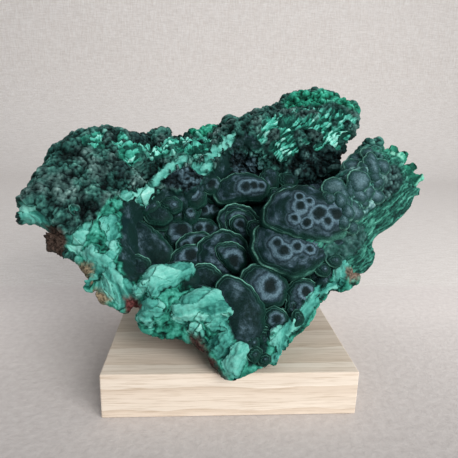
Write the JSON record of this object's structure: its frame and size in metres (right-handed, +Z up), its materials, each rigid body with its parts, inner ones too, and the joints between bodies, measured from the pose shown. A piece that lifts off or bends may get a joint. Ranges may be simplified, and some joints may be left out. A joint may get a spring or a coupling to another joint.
{
  "type": "mineral specimen",
  "caption": "Velvety green malachite specimen, a leaning winged slab with a hollow of rounded lobes, standing on a square pale wood display block.",
  "frame": {"origin": "centre of the wooden block's underside", "axes": "+Z up; +X to the right along the block's front edge, which is also the stone's widest way; +Y away from the front, so the stone's open face looks towards -Y and up"},
  "size_m": [0.2761, 0.1887, 0.2052],
  "materials": {
    "velvet_malachite": "dark green silky botryoidal crust with paler fibrous broken edges",
    "pale_wood": "sanded, unvarnished, straight fine grain"
  },
  "bodies": {
    "root": {"malachite": "velvet_malachite", "wood_block": "pale_wood"}
  },
  "joints": []
}
